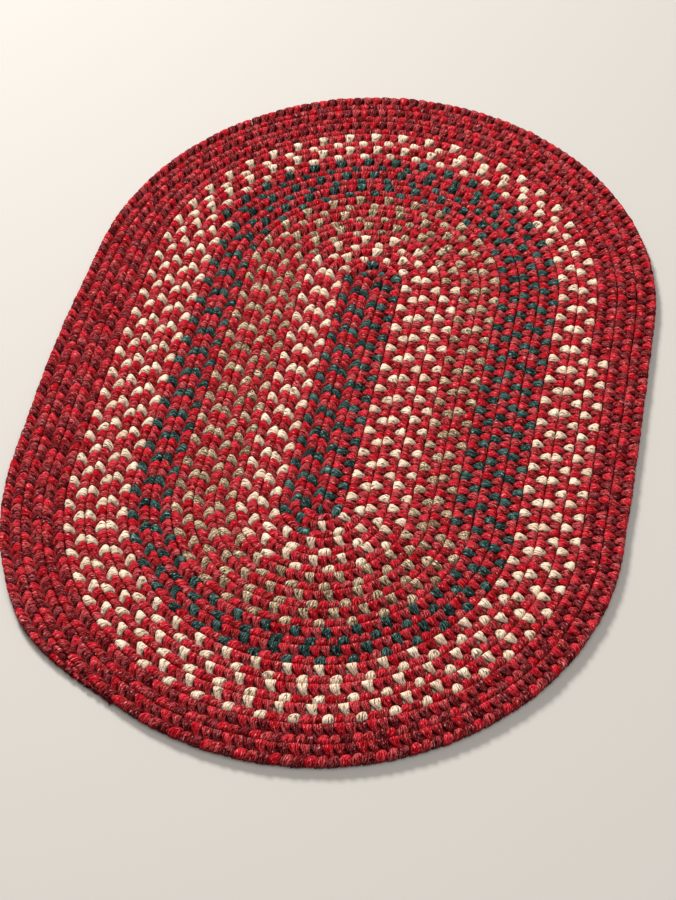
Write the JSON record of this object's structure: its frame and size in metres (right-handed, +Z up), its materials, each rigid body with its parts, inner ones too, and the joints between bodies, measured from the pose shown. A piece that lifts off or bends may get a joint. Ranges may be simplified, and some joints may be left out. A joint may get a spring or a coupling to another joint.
{
  "type": "braided oval rug",
  "caption": "Flat oval rug: one three-strand yarn plait coiled from a straight start and laced edge to edge, in bands of accent colour inside a dark rim.",
  "frame": {"origin": "middle of the flat underside, at the centre of the rug's outline box", "axes": "+X along the rug, away from the turn where the plait's free end lies; +Y across it; +Z up, out of the walked-on face"},
  "size_m": [0.7644, 0.51, 0.01],
  "materials": {
    "rug_yarn": "matt plaited wool-blend yarn, bright red and heather red with a third strand in green, cream, tan or burgundy by the band"
  },
  "bodies": {
    "root": {"braided_rug": "rug_yarn"}
  },
  "joints": []
}
